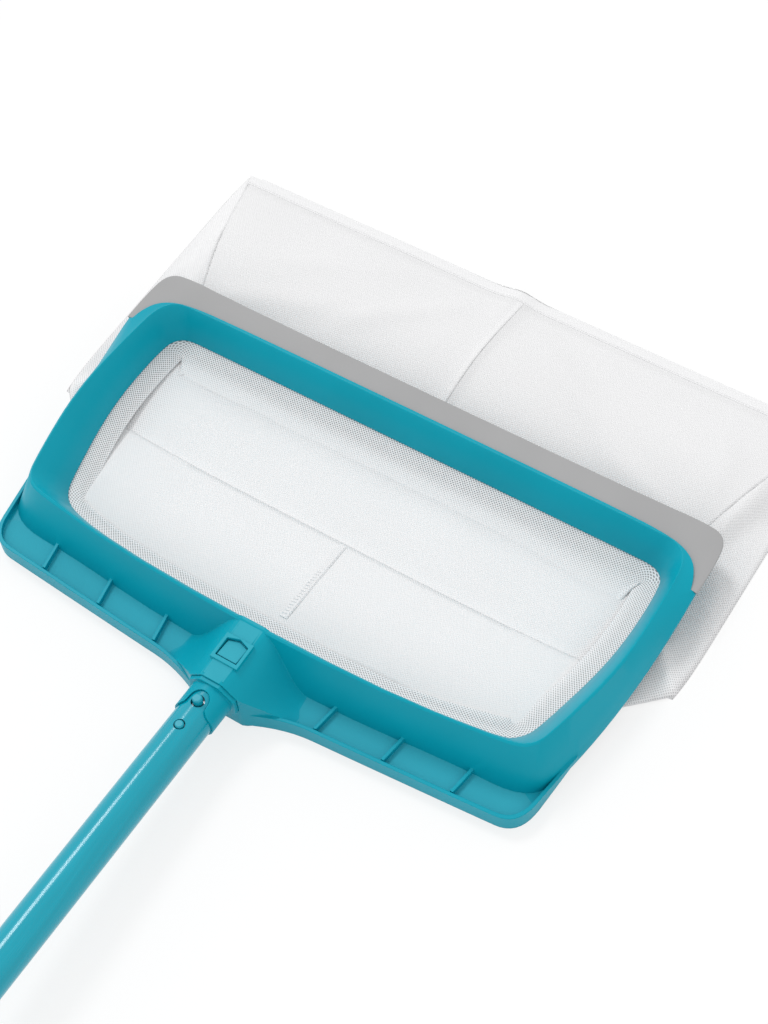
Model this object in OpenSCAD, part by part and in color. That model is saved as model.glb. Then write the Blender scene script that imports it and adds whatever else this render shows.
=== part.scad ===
// Leaf skimmer net: a wide scoop-shaped head with a soft scraper lip, a deep
// mesh bag and a snap-in socket that carries one section of a jointed pole.
// Millimetres. +X is to the right, +Y runs from the pole to the scraper lip and
// +Z is up. The part lies on the floor at Z = 0, with the origin under its middle.

/* [Head] */
// Half width of the net opening at its near corners
mouth_half_near = 206; // [190:1:215]
// How much further out each far corner of the opening is than the near one
mouth_flare = 23; // [15:1:30]
// Distance from the collar face to the near edge of the net opening
mouth_near = 66; // [62:1:72]
// Length of the net opening from its near edge to its far edge
mouth_length = 199; // [180:1:215]
// Height of the opening's near edge above the floor
mouth_near_z = 20.5; // [18:0.5:23]
// Height of the opening's far edge above the floor
mouth_far_z = 12.5; // [11:0.5:14]
// Height of the scoop's ridge above the floor at the neck
ridge_near_z = 52.5; // [50:0.5:55]
// Height of the scoop's ridge above the floor at the scraper lip
ridge_far_z = 39; // [37.5:0.5:42]
// Run of the funnel wall from the opening out to the ridge, near side
funnel_run_near = 14; // [12:0.5:16]
// Run of the funnel wall from the opening out to the ridge, left and right
funnel_run_side = 14; // [11:0.5:17]
// Run of the funnel wall from the opening out to the ridge, far side
funnel_run_far = 12; // [10:0.5:14]
// Run of the outer skirt from the ridge to its foot, left and right
skirt_run = 16; // [13:0.5:18]
// Wall thickness of the moulded head
head_wall = 2.4; // [2:0.1:2.8]

/* [Flange] */
// Height of the flange rim above the floor
rim_z = 16; // [15:0.5:18]
// Height of the recessed tray floor inside the rim
tray_z = 11; // [10:0.5:12]
// Thickness of the rim and of the tray floor
rim_wall = 2.6; // [2:0.1:3]
// Spacing of the stiffening ribs along each wing
rib_pitch = 55; // [50:1:58]
// Distance of the first rib from the centre line
rib_first = 74; // [72:1:80]
// Thickness of a stiffening rib
rib_wall = 2.4; // [2:0.1:3]

/* [Neck] */
// Width across the flats of the neck's octagonal collar
collar_flats = 42.2; // [41.5:0.1:44]
// Height of the collar's centre above the floor
collar_z = 31; // [30.5:0.1:32]
// Width across the flats of the octagonal bore
bore_flats = 37; // [36:0.1:37.6]
// Depth of the octagonal bore from the collar face
bore_depth = 47; // [46:0.5:49]
// Width across the flats of the recess that takes the socket's flange
recess_flats = 40; // [39.6:0.1:40.4]
// Depth of that recess
recess_depth = 3; // [2.5:0.1:4]
// Side gap between the socket and the neck
socket_gap = 0.25; // [0.2:0.05:0.4]

/* [Latch] */
// Width of the pentagonal latch button
latch_w = 16.6; // [15:0.1:17]
// Length of the straight sides of the latch button
latch_side = 14.2; // [12:0.1:15]
// Height of the button's pointed end beyond its sides
latch_peak = 2.7; // [2:0.1:3]
// Distance from the collar face to the latch button
latch_y = 19.2; // [18.5:0.1:20]
// Gap round the latch button in its window
latch_gap = 0.9; // [0.8:0.1:1.2]
// Thickness of the springy tongue under the latch button
tongue_t = 2.2; // [1.8:0.1:2.6]
// Distance from the collar face to the bead that the tongue turns on
tongue_root = 42.8; // [42:0.1:43.5]
// Radial clearance of the bead in its seat
bead_gap = 0.05; // [0.02:0.01:0.1]
// Travel of the latch, and slope of its wedge-shaped button
latch_travel = 7.6; // [7:0.1:8]

/* [Pole] */
// Outer diameter of the pole
pole_d = 30; // [29.6:0.1:30.4]
// Wall thickness of the pole
pole_wall = 1.3; // [1.1:0.05:1.4]
// Length of one pole section
pole_length = 365; // [300:5:450]
// Slope of the pole above the level
pole_pitch = 4.1; // [3:0.1:5]
// Radial clearance of the spigots inside the pole
spigot_gap = 0.1; // [0.08:0.01:0.15]
// Wall thickness of the spigots
spigot_wall = 2.2; // [1.8:0.1:2.4]
// Length of the spigots inside the pole
spigot_length = 85; // [84:1:96]
// Outer diameter of the socket's sleeve round the pole
sleeve_d = 33.2; // [32.8:0.1:34]
// Length of the sleeve beyond the collar face
sleeve_length = 25.6; // [24:0.1:28]
// Half width of the sleeve's arched cut-out
arch_r = 8; // [7:0.1:9]

/* [Snap clip] */
// Distance of the lock button from the end of the pole
lock_at = 14; // [13:0.1:15]
// Distance between the lock button and the release button
button_pitch = 22.3; // [20:0.1:24]
// Diameter of the lock button
lock_d = 7.5; // [7:0.1:8]
// Height of the lock button above the pole
lock_proud = 4.5; // [4:0.1:5]
// Diameter of the release button
release_d = 6.8; // [6.4:0.1:7]
// Height of the release button above the pole
release_proud = 1; // [0.8:0.1:1.4]
// Diameter of the pole's hole for the lock button
lock_hole_d = 10.4; // [10:0.1:11]
// Diameter of the pole's hole for the release button
release_hole_d = 8.6; // [8.4:0.1:9]
// Width of the relief groove behind the release button
relief_w = 2; // [1.5:0.1:2.5]
// Depth of the relief groove
relief_depth = 0.8; // [0.6:0.1:1]
// Distance from the end of the pole to the leaf's fixed end
leaf_root = 64; // [62:0.5:66]
// Width of the spring leaf
leaf_w = 8.4; // [8:0.1:9]
// Thickness of the spring leaf
leaf_t = 0.9; // [0.7:0.05:1.1]
// Radius of the rolled eye that the spring leaf turns on
eye_r = 1.3; // [1.2:0.05:1.4]
// Radial clearance of the rolled eye in its seat
eye_gap = 0.05; // [0.02:0.01:0.1]

/* [Scraper lip] */
// Width of the lip beyond the head along its far edge
lip_w = 21; // [18:0.5:24]
// Thickness of the lip where it meets the head
lip_t = 2.4; // [2:0.1:2.8]
// Height of the lip's top face above the floor
lip_z = 35.6; // [34:0.1:36]
// Width of the ledge that carries the lip
ledge_w = 9; // [7:0.5:10]

/* [Bag] */
// Thickness of the mesh
mesh_t = 0.6; // [0.5:0.05:0.8]
// How far the bag reaches beyond the head's skirt, left and right
bag_over = 22; // [14:1:30]
// Length of the bag beyond the far edge of the opening
bag_tail = 181; // [160:1:200]
// Distance that the near wall slopes back to the floor
bag_slope = 102; // [90:1:110]
// Width of the mesh band inside the opening
band_w = 10; // [8:0.5:12]
// Depth of the band's inner edge below the opening's edge
band_drop = 6; // [5.8:0.1:6.3]
// Height of the bag's full part beyond the head
bag_puff = 15; // [12:0.5:18]
// Width of the hem at the tail of the bag
hem_w = 10; // [8:0.5:12]
// Width of the seam bindings
seam_w = 6; // [5:0.5:8]
// Width of the ring that holds the net in the head
ring_w = 7; // [6:0.5:8]
// Thickness of that ring
ring_t = 2.4; // [2:0.1:2.6]
// Gap between the head, the clamped mesh and the ring
net_gap = 0.2; // [0.15:0.05:0.3]
// Gap between a stitched tape and the mesh under it
tape_gap = 0.05; // [0.02:0.01:0.1]

/* [Hidden] */

$fn = 48;
eps = 0.01;
teal = [0, 0.59, 0.68];
teal_dark = [0, 0.51, 0.6];
grey = [0.66, 0.66, 0.66];
mesh_white = [0.93, 0.93, 0.94];
steel = [0.75, 0.76, 0.78];

// Sizes that follow from the ones above
mouth_half_far = mouth_half_near + mouth_flare;
mouth_far = mouth_near + mouth_length;
ridge_near = mouth_near - funnel_run_near;
ridge_far = mouth_far + funnel_run_far;
rim_line_far = ridge_far + 4;
skirt_half = mouth_half_far + funnel_run_side + skirt_run;
bag_half = skirt_half + bag_over;
bag_end = mouth_far + bag_tail;
pole_r = pole_d / 2;
pole_bore_r = pole_r - pole_wall;
spigot_r = pole_bore_r - spigot_gap;
pole_start = recess_depth + 1.5;
pole_end = pole_start + pole_length;
shoulder = 3;
coupler_tip = pole_end + shoulder + spigot_length;
leaf_z = spigot_r - spigot_wall - 2.2;
relief_at = lock_at + button_pitch + release_hole_d / 2 + 3.4;
tail_y = -coupler_tip * cos(pole_pitch) - spigot_r * sin(pole_pitch);
root_overlap = 1;
hem_bead = 1.2;
hem_bead_inset = 14;
middle_y = (tail_y + bag_end + hem_bead) / 2;

// ---------------------------------------------------------------- helpers

function mix(a, b, t) = a + (b - a) * t;
function clamp01(t) = min(1, max(0, t));
function unit(v) = v / norm(v);
function lift(p, z) = [p[0], p[1], z];

// A smooth line that starts at the first control point, ends at the last and
// is tangent to each leg between them; steps gives the points for each piece
function smooth_line(c, steps) = [
    for (i = [1:len(c) - 2])
        let (a = i == 1 ? c[0] : mix(c[i - 1], c[i], 0.5))
        let (b = i == len(c) - 2 ? c[i + 1] : mix(c[i], c[i + 1], 0.5))
        for (k = [0:steps[i - 1] - 1])
            let (t = k / steps[i - 1])
            mix(mix(a, c[i], t), mix(c[i], b, t), t),
    c[len(c) - 1]];

function backwards(line) = [for (i = [len(line) - 1:-1:0]) line[i]];

// Right half from the near middle to the far middle, then the left half back
function whole_loop(half) = concat(half, [for (i = [len(half) - 2:-1:1]) [-half[i][0], half[i][1]]]);

// Faces across one ring of a tube, as a ladder from its first and last points inwards
function cap_faces(first, sides) = [for (j = [0:ceil(sides / 2) - 2])
    let (a = first + j)
    let (c = first + sides - 2 - j)
    each (a + 1 == c ? [[a, c, c + 1]] : [[a, a + 1, c], [a, c, c + 1]])];

// Faces of a tube of rings, closed on itself or capped at both ends
function tube_faces(rings, sides, closed) = concat(
    [for (i = [0:rings - (closed ? 1 : 2)], j = [0:sides - 1])
        let (a = i * sides + j)
        let (b = i * sides + (j + 1) % sides)
        let (c = ((i + 1) % rings) * sides + (j + 1) % sides)
        let (d = ((i + 1) % rings) * sides + j)
        each [[a, b, c], [a, c, d]]],
    closed ? [] : [for (f = cap_faces(0, sides)) backwards(f)],
    closed ? [] : cap_faces((rings - 1) * sides, sides));

// Skin over rings of points; turned is for rings that run the other way round
module swept(rings, closed = true, turned = false) {
    polyhedron(points = [for (r = rings) each (turned ? backwards(r) : r)],
        faces = tube_faces(len(rings), len(rings[0]), closed), convexity = 10);
}

module octagon(flats, length) {
    rotate([90, 0, 0]) rotate([0, 0, 22.5])
        cylinder(d = flats / cos(22.5), h = length, $fn = 8);
}

// Children in the pole's frame: its axis runs along -Y from the collar
module on_pole() {
    translate([0, 0, collar_z + 0.85]) rotate([-pole_pitch, 0, 0]) children();
}

module along_pole(s) {
    translate([0, -s, 0]) rotate([90, 0, 0]) children();
}

module placed() {
    translate([0, -middle_y, 0]) children();
}

// ---------------------------------------------------------------- outlines

steps = [3, 6, 6, 6, 6, 6, 8, 3];

mouth_c = [[0, mouth_near], [100, mouth_near], [mouth_half_near - 24, mouth_near + 9],
    [mouth_half_near, mouth_near + 20], [mouth_half_near + 8, mouth_near + 46],
    [mouth_half_far - 1, mouth_near + 0.55 * mouth_length],
    [mouth_half_far + 0.5, mouth_far - 30], [mouth_half_far - 4, mouth_far - 0.5],
    [mouth_half_far - 40, mouth_far], [0, mouth_far]];
ridge_c = [[0, ridge_near], [100, ridge_near + 1], [mouth_half_near - 11, ridge_near + 12],
    [mouth_half_near + 16, ridge_near + 18], [mouth_half_near + 24, ridge_near + 44],
    [mouth_half_far + funnel_run_side, ridge_near + 108],
    [mouth_half_far + funnel_run_side, ridge_far - 52],
    [mouth_half_far + funnel_run_side - 4, ridge_far - 2],
    [mouth_half_far - 28, ridge_far], [0, ridge_far]];
skirt_c = [[0, ridge_near - 14], [80, ridge_near - 13], [mouth_half_near - 36, ridge_near - 4],
    [mouth_half_near + 26, ridge_near - 2], [mouth_half_near + 38, ridge_near + 33],
    [skirt_half - 3.5, ridge_near + 113], [skirt_half, ridge_far - 20],
    [skirt_half - 5, rim_line_far + ledge_w], [skirt_half - 42, rim_line_far + ledge_w],
    [0, rim_line_far + ledge_w]];
lip_start = ridge_far - 31;
lip_steps = [4, 6, 6, 3];
lip_inner_c = [[skirt_half - 5, lip_start], [skirt_half - 7, lip_start + 9],
    [skirt_half - 16, rim_line_far - 11], [skirt_half - 37, rim_line_far - 2.5],
    [skirt_half - 87, rim_line_far - 0.5], [0, rim_line_far - 0.5]];
lip_outer_c = [[skirt_half + 0.4, lip_start], [skirt_half + 1, lip_start + 29],
    [skirt_half - 3, rim_line_far + lip_w - 2], [skirt_half - 23, rim_line_far + lip_w + 2],
    [skirt_half - 69, rim_line_far + lip_w], [0, rim_line_far + lip_w]];

mouth = whole_loop(smooth_line(mouth_c, steps));
ridge = whole_loop(smooth_line(ridge_c, steps));
skirt = whole_loop(smooth_line(skirt_c, steps));
lip_inner_half = smooth_line(lip_inner_c, lip_steps);
lip_outer_half = smooth_line(lip_outer_c, lip_steps);
lip_inner = concat(lip_inner_half, [for (i = [len(lip_inner_half) - 2:-1:0])
    [-lip_inner_half[i][0], lip_inner_half[i][1]]]);
lip_outer = concat(lip_outer_half, [for (i = [len(lip_outer_half) - 2:-1:0])
    [-lip_outer_half[i][0], lip_outer_half[i][1]]]);

function mouth_z(y) = mix(mouth_near_z, mouth_far_z, (y - mouth_near) / mouth_length);
function ridge_z(y) = mix(ridge_near_z, ridge_far_z, (y - ridge_near) / (ridge_far - ridge_near));

// Underside of the skirt: level along the flange, then rising to the lip
function skirt_z(y) = mix(tray_z - rim_wall, lip_z - lip_t - rim_wall,
    pow(clamp01((y - ridge_near - 20) / (lip_start - ridge_near - 20)), 1.8));

// ---------------------------------------------------------------- head

// One ring of the scoop: funnel, ridge and skirt as a thin folded wall
function hoop_ring(m, r, s) =
    let (out = unit(s - m))
    let (mz = mouth_z(m[1]))
    let (rz = ridge_z(r[1]))
    let (sz = skirt_z(s[1]))
    let (side_top = sz + head_wall + 1)
    let (far = clamp01((s[1] - lip_start) / 20))
    let (st = mix(side_top, lip_z - 0.3, far))
    [lift(m, mz),
     lift(mix(m, r, 0.45) - out * 0.6, mix(mz, rz, 0.5)),
     lift(r - out * 1.8, rz - 1.4),
     lift(r, rz),
     lift(r + out * 1.8, rz - 1.2),
     lift(mix(r, s, 0.55) + out * 0.5, mix(rz - 1, st, 0.55)),
     lift(s, st),
     lift(s, sz),
     lift(s - out * head_wall, sz),
     lift(mix(r, s, 0.5) - out * (head_wall - 0.5), mix(rz - 1, st, 0.55) - head_wall),
     lift(r - out * 0.3, rz - head_wall - 1),
     lift(mix(m, r, 0.45) + out * head_wall, mix(mz, rz, 0.5) - 0.4 * head_wall),
     lift(m + out * (head_wall + 1), mz - 0.2),
     lift(m + out * (head_wall + 1), mz - head_wall),
     lift(m, mz - head_wall)];

module hoop() {
    swept([for (i = [0:len(mouth) - 1]) hoop_ring(mouth[i], ridge[i], skirt[i])], turned = true);
}

// Flange outline in plan, set in by d: from the collar round one wing's corner
function wing_line(d) = smooth_line([[collar_flats / 2 - 2, d], [46, 13.5 + d],
    [95, 17 + d], [mouth_half_near - 6, 25 + d], [mouth_half_near + 29 - d, 28 + d],
    [mouth_half_near + 35 - d, 68], [mouth_half_near + 39 - d, 96]], [7, 3, 3, 8, 2]);

module wing_shape(d, back) {
    half = wing_line(d);
    polygon(concat(half, [[mouth_half_near + 30, 96 + back], [mouth_half_near + 18, 60 + back],
        [mouth_half_near - 30, 47 + back], [60, 40 + back], [0, 38 + back], [0, d]]));
}

module both_sides() {
    children();
    mirror([1, 0, 0]) children();
}

module flange() {
    both_sides() {
        translate([0, 0, tray_z - rim_wall]) linear_extrude(rim_wall) wing_shape(0.5, 4);
        difference() {
            linear_extrude(rim_z) polygon(concat(wing_line(0), backwards(wing_line(rim_wall))));
            // the rim's lower edge rises where it runs out on the skirt
            translate([mouth_half_near, 52, 0]) rotate([16, 0, 0])
                translate([0, 0, -30]) cube([60, 70, 30]);
        }
        for (i = [0:2]) rib(rib_first + i * rib_pitch, i);
    }
}

// A stiffening rib from the rim up to the skirt, leaning outwards a little
module rib(x, i) {
    near = [x - 1.9, 19 + 4.2 * i];
    far = [x + 2.3, 45 + 4 * i];
    hull() {
        translate([near[0], near[1], tray_z - 1]) linear_extrude(rim_z - tray_z + 0.6)
            square([rib_wall, 0.4], center = true);
        translate([far[0], far[1], tray_z - 1]) linear_extrude(rim_z - tray_z + 0.6)
            square([rib_wall, 0.4], center = true);
    }
}

// Height of the neck's shoulder line above the flange outline
function shoulder_z(x) = x < collar_flats * 0.207 ? collar_z + collar_flats / 2
    : x < collar_flats / 2 ? collar_z + collar_flats * 0.707 - x
    : mix(tray_z - 0.8, collar_z + collar_flats * 0.207, pow(1 - clamp01((x - collar_flats / 2) / 46), 2));

// Bell-shaped line where the neck runs up the hoop's near wall
function bell_z(x) = mix(tray_z - 1.3, ridge_near_z - 0.6,
    pow((1 + cos(180 * clamp01((x - 9) / 54))) / 2, 1.6));

function neck_near(x) = x < collar_flats / 2 ? 0
    : let (t = clamp01((x - collar_flats / 2) / 46)) 17 * (1 - pow(1 - t, 1.9));

// One slice of the neck at x, shrunk by d to make its hollow underside
function neck_slice(x, d) =
    let (near = neck_near(abs(x)) + d)
    let (top = shoulder_z(abs(x)) - d)
    let (bell = bell_z(abs(x)) - d)
    let (back = ridge_near - 12 + 13.5 * (bell_z(abs(x)) - tray_z) / (ridge_near_z - tray_z))
    let (low = d > 0 ? -1 : 0)
    [[x, near, low], [x, near, top], [x, mix(near, back, 0.5), mix(top, bell, 0.5) - 0.8],
     [x, back + (d > 0 ? 0 : 1.5), bell], [x, ridge_near - 10, low]];

neck_x = [for (i = [0:40]) 66.3 * (i / 20 - 1)];

module neck() {
    difference() {
        swept([for (x = neck_x) neck_slice(x, 0)], closed = false);
        swept([for (x = neck_x) neck_slice(x * 0.96, head_wall)], closed = false);
    }
    translate([0, bore_depth + head_wall, collar_z]) octagon(collar_flats - 0.6, bore_depth);
}

module latch_outline(grow) {
    polygon([[-latch_w / 2 - grow, -grow], [latch_w / 2 + grow, -grow],
        [latch_w / 2 + grow, latch_side + grow / 2], [0, latch_side + latch_peak + grow],
        [-latch_w / 2 - grow, latch_side + grow / 2]]);
}

module frame() {
    color(teal) difference() {
        union() {
            hoop();
            flange();
            neck();
            // raised surround of the latch window
            translate([-latch_w / 2 - 3.4, latch_y - 4, collar_z + collar_flats / 2 - 3])
                cube([latch_w + 6.8, latch_side + latch_peak + 5.6, 4]);
        }
        translate([0, bore_depth, collar_z]) octagon(bore_flats, bore_depth + 1);
        translate([0, recess_depth, collar_z]) octagon(recess_flats, recess_depth + 1);
        translate([0, latch_y, collar_z]) linear_extrude(collar_flats)
            latch_outline(latch_gap);
        // pocket for the scraper lip
        translate([0, 0, lip_z - lip_t]) linear_extrude(ridge_far_z)
            polygon(concat(lip_inner, [[-skirt_half - lip_w, lip_start],
                [-skirt_half - lip_w, rim_line_far + 2 * lip_w],
                [skirt_half + lip_w, rim_line_far + 2 * lip_w], [skirt_half + lip_w, lip_start]]));
    }
}

module scraper_lip() {
    color(grey) swept([for (i = [0:len(lip_inner) - 1])
        let (a = lip_inner[i])
        let (b = lip_outer[i])
        let (out = unit(b - a))
        [lift(a, lip_z - lip_t), lift(a, lip_z), lift(mix(a, b, 0.5), lip_z - 0.1),
         lift(b - out * 1.2, lip_z - 0.5), lift(b, lip_z - 1.3), lift(b - out * 0.6, lip_z - 2),
         lift(mix(a, b, 0.5), lip_z - lip_t)]], closed = false);
}

// ---------------------------------------------------------------- net fixing

function outward(i, loop) =
    let (n = len(loop))
    let (t = unit(loop[(i + 1) % n] - loop[(i + n - 1) % n]))
    [t[1], -t[0]];

// A flat strip under the head that follows the opening, from d0 to d1 outwards
module mouth_strip(d0, d1, drop, t) {
    swept([for (i = [0:len(mouth) - 1])
        let (m = mouth[i])
        let (out = outward(i, mouth))
        let (z = mouth_z(m[1]) - head_wall - drop)
        [lift(m + out * d0, z - t), lift(m + out * d0, z),
         lift(m + out * d1, z), lift(m + out * d1, z - t)]], turned = true);
}

module net_retainer_ring() {
    drop = mesh_t + 2 * net_gap;
    color(teal_dark) mouth_strip(0.2, ring_w, drop, ring_t);
}

// The band of mesh that is clamped under the head and slopes into the opening
module bag_mouth_band() {
    color(mesh_white) swept([for (i = [0:len(mouth) - 1])
        let (m = mouth[i])
        let (out = outward(i, mouth))
        let (z = mouth_z(m[1]) - head_wall - net_gap)
        let (inner = lift(m - out * band_w, mouth_z(m[1]) - band_drop))
        [inner - [0, 0, mesh_t], inner, lift(m - out * 0.5, z), lift(m + out * (ring_w - 1), z),
         lift(m + out * (ring_w - 1), z - mesh_t), lift(m - out * 0.5, z - mesh_t)]], turned = true);
}

// ---------------------------------------------------------------- bag

half_count = len(mouth) / 2;
near_corner = 12;
far_corner = 37;
corner_y = mouth_near + bag_slope + 12;

// Outline of the bag on the floor, at station i of the right half
function bag_edge(i) =
    let (side = bag_half - 3)
    i <= near_corner
        ? let (t = mouth[i][0] / mouth[near_corner][0])
          [side * t, mix(mouth_near + bag_slope, corner_y, pow(t, 4))]
    : i >= far_corner ? [side * mouth[i][0] / mouth[far_corner][0], bag_end]
    : let (t = (i - near_corner) / (far_corner - near_corner))
      [bag_half - 3 * pow(abs(2 * t - 1), 8), mix(corner_y, bag_end, t)];
bag_line = whole_loop([for (i = [0:half_count]) bag_edge(i)]);

// Height of the bag's top side at t of the way from the band to the floor line
function bag_z(i, t) =
    let (start = mouth_z(mouth[i][1]) - band_drop - mesh_t)
    let (far = clamp01((mouth[i][1] - mouth_far + 30) / 20))
    let (full = bag_puff * pow(max(0, sin(180 * clamp01((t - 0.08) / 0.92))), 1.5) * far)
    mix(start, 2 * mesh_t, mix(t, pow(t, 1.4), far)) + full;

// Point of the bag's top side at station i and t, raised by up
function bag_point(i, t, up) =
    let (inner = mouth[i] - outward(i, mouth) * band_w)
    lift(mix(inner, bag_line[i], t), bag_z(i, t) + up);

// Closed section of a layer of mesh at station i, along the rows
function bag_section(i, rows, up) = concat([for (t = backwards(rows)) bag_point(i, t, up - mesh_t)],
    [for (t = rows) bag_point(i, t, up)]);

// Rows of the bag's pieces; the top panel's last one lies under the hem
hem_fold = 1 - hem_w / (bag_tail + band_w);
near_rows = [0, 0.88, 1];
side_rows = [for (k = [0:8]) k / 8];
top_rows = [for (k = [0:12]) k < 12 ? hem_fold * k / 11 : 1];

// One sewn piece of the bag, from one station of its outline to another
module bag_piece(from, to, rows) {
    n = len(mouth);
    color(mesh_white) swept([for (i = [from:to]) bag_section((i + n) % n, rows, 0)],
        closed = false, turned = true);
}

// The near wall dips a little towards its ends, where it is sewn under the side walls
module bag_near_wall() {
    n = len(mouth);
    sloping = [for (t = concat(backwards(near_rows), near_rows)) t < 1 ? 1 : 0];
    color(mesh_white) swept([for (i = [-near_corner:near_corner])
        let (dip = (mesh_t + tape_gap) * clamp01((abs(i) - 4) / 4))
        let (section = bag_section((i + n) % n, near_rows, 0))
        [for (k = [0:len(section) - 1]) section[k] - [0, 0, dip * sloping[k]]]], closed = false);
}

module bag_left_wall() {
    bag_piece(-far_corner, -near_corner, side_rows);
}

module bag_right_wall() {
    bag_piece(near_corner, far_corner, side_rows);
}

module bag_top_panel() {
    bag_piece(far_corner, 2 * half_count - far_corner, top_rows);
}

module bag_bottom_panel() {
    color(mesh_white) linear_extrude(mesh_t) polygon(bag_line);
}

// Tape folded over the tail's edge and stitched down
module bag_hem() {
    over = mesh_t + tape_gap;
    color(mesh_white) {
        swept([for (i = [far_corner:2 * half_count - far_corner]) bag_section(i, [hem_fold, 1], over)],
            closed = false, turned = true);
        translate([-bag_half + hem_bead_inset, bag_end, 0])
            cube([2 * (bag_half - hem_bead_inset), hem_bead, 3 * mesh_t + tape_gap]);
    }
}

// Binding tape over a centre seam, laid on the bag's top side at station i
module seam_binding(i, rows) {
    top = bag_section(i, rows, mesh_t + tape_gap);
    swept([for (x = [-seam_w / 2, seam_w / 2]) [for (p = top) [x, p[1], p[2]]]], closed = false);
}

module near_seam_binding() {
    color(mesh_white) seam_binding(0, [0.1, 0.98]);
}

module top_seam_binding() {
    color(mesh_white) seam_binding(half_count, [for (k = [1:11]) min(top_rows[k], hem_fold - 0.005)]);
}

// ---------------------------------------------------------------- socket and pole

// Hollow spigot from s, drilled for the buttons, with a bulkhead that holds the leaf's eye;
// it is rooted a little way into the solid behind s
module spigot(s) {
    root = s + leaf_root;
    difference() {
        along_pole(s - root_overlap) cylinder(r = spigot_r, h = spigot_length + root_overlap);
        along_pole(s - root_overlap - 1) cylinder(r = spigot_r - spigot_wall, h = leaf_root + 1.5);
        along_pole(root + 2.6) cylinder(r = spigot_r - spigot_wall, h = spigot_length);
        leaf_eye(root, eye_r + eye_gap, leaf_w + 2 * eye_gap);
        button_holes(s);
        relief_groove(s + relief_at);
    }
}

// Shallow groove round the spigot, where its free end begins behind the buttons
module relief_groove(s) {
    along_pole(s) difference() {
        cylinder(r = spigot_r + 1, h = relief_w);
        translate([0, 0, -1]) cylinder(r = spigot_r - relief_depth, h = relief_w + 2);
    }
}

// Holes for the lock button and the release button of the clip at s
module button_holes(s) {
    translate([0, -s - lock_at, 0]) cylinder(d = lock_hole_d, h = pole_d);
    translate([0, -s - lock_at - button_pitch, 0]) cylinder(d = release_hole_d, h = pole_d);
}

// Rolled eye across the end of the leaf
module leaf_eye(root, r, w) {
    translate([-w / 2, -root, leaf_z + leaf_t / 2]) rotate([0, 90, 0]) cylinder(r = r, h = w);
}

module arch_cut(s) {
    rotate([0, 0, 180]) translate([0, s, 0]) linear_extrude(pole_d) {
        translate([0, arch_r]) circle(r = arch_r);
        polygon([[-arch_r, arch_r], [arch_r, arch_r], [arch_r + 0.6, arch_r + 5],
            [arch_r + 3, arch_r + 7.4], [arch_r + 8, arch_r + 9.4], [-arch_r - 8, arch_r + 9.4],
            [-arch_r - 3, arch_r + 7.4], [-arch_r - 0.6, arch_r + 5]]);
    }
}

plug_flats = bore_flats - 2 * socket_gap;
flange_flats = recess_flats - 4 * socket_gap;
tongue_z = collar_z + plug_flats / 2 - tongue_t;
tongue_w = plug_flats * 0.414 - 0.5;
bead_r = norm([tongue_t, 1]) / 2;

// Bead across the tongue's fixed end, and its seat when grown
module tongue_bead(r, w) {
    translate([-w / 2, tongue_root, tongue_z + tongue_t / 2]) rotate([0, 90, 0])
        cylinder(r = r, h = w);
}

module pole_socket() {
    color(teal) {
        difference() {
            union() {
                translate([0, bore_depth - 0.5, collar_z]) octagon(plug_flats, bore_depth);
                translate([0, recess_depth - 0.1, collar_z]) octagon(flange_flats, recess_depth + 3);
                on_pole() along_pole(0) cylinder(d = sleeve_d, h = sleeve_length);
            }
            translate([0, tongue_root - 5, collar_z]) rotate([90, 0, 0])
                cylinder(r = spigot_r, h = tongue_root - 11);
            translate([-latch_w / 2 - 0.5, 10.5, collar_z])
                cube([latch_w + 1, tongue_root - 11, collar_flats]);
            tongue_bead(bead_r + bead_gap, tongue_w + 2 * bead_gap);
            on_pole() along_pole(pole_start) cylinder(r = pole_r + 0.1, h = pole_length);
            on_pole() arch_cut(9.5);
        }
        on_pole() spigot(pole_start);
    }
}

module latch_tongue() {
    color(teal) {
        translate([-tongue_w / 2, 12, tongue_z]) cube([tongue_w, tongue_root - 12, tongue_t]);
        tongue_bead(bead_r, tongue_w);
        // button: square shoulder towards the pole, sloping to its point
        difference() {
            translate([0, latch_y, tongue_z]) linear_extrude(collar_flats) latch_outline(0);
            translate([0, latch_y, collar_z + collar_flats / 2 + 0.4])
                rotate([-latch_travel, 0, 0]) translate([-latch_w, -5, 0])
                    cube([2 * latch_w, 2 * collar_flats, 2 * collar_flats]);
        }
    }
}

module clip_leaf(s) {
    translate([-leaf_w / 2, -s - leaf_root, leaf_z]) cube([leaf_w, leaf_root - 6, leaf_t]);
    leaf_eye(s + leaf_root, eye_r, leaf_w);
}

// A round button with a chamfered top, standing on the leaf
module clip_button(s, d, proud) {
    height = pole_r + proud - leaf_z - leaf_t;
    translate([0, -s, leaf_z + leaf_t]) {
        cylinder(d = d, h = height - 0.8);
        translate([0, 0, height - 0.8]) cylinder(d1 = d, d2 = d - 1.6, h = 0.8);
    }
}

module head_clip_leaf() {
    color(steel) on_pole() clip_leaf(pole_start);
}

module head_lock_button() {
    color(teal) on_pole() clip_button(pole_start + lock_at, lock_d, lock_proud);
}

module head_release_button() {
    color(teal) on_pole() clip_button(pole_start + lock_at + button_pitch, release_d, release_proud);
}

// Pole section, drilled at the head end for the two buttons
module pole_tube() {
    color(teal) on_pole() difference() {
        along_pole(pole_start) cylinder(r = pole_r, h = pole_length);
        along_pole(pole_start - 1) cylinder(r = pole_bore_r, h = pole_length + 2);
        button_holes(pole_start);
    }
}

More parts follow.
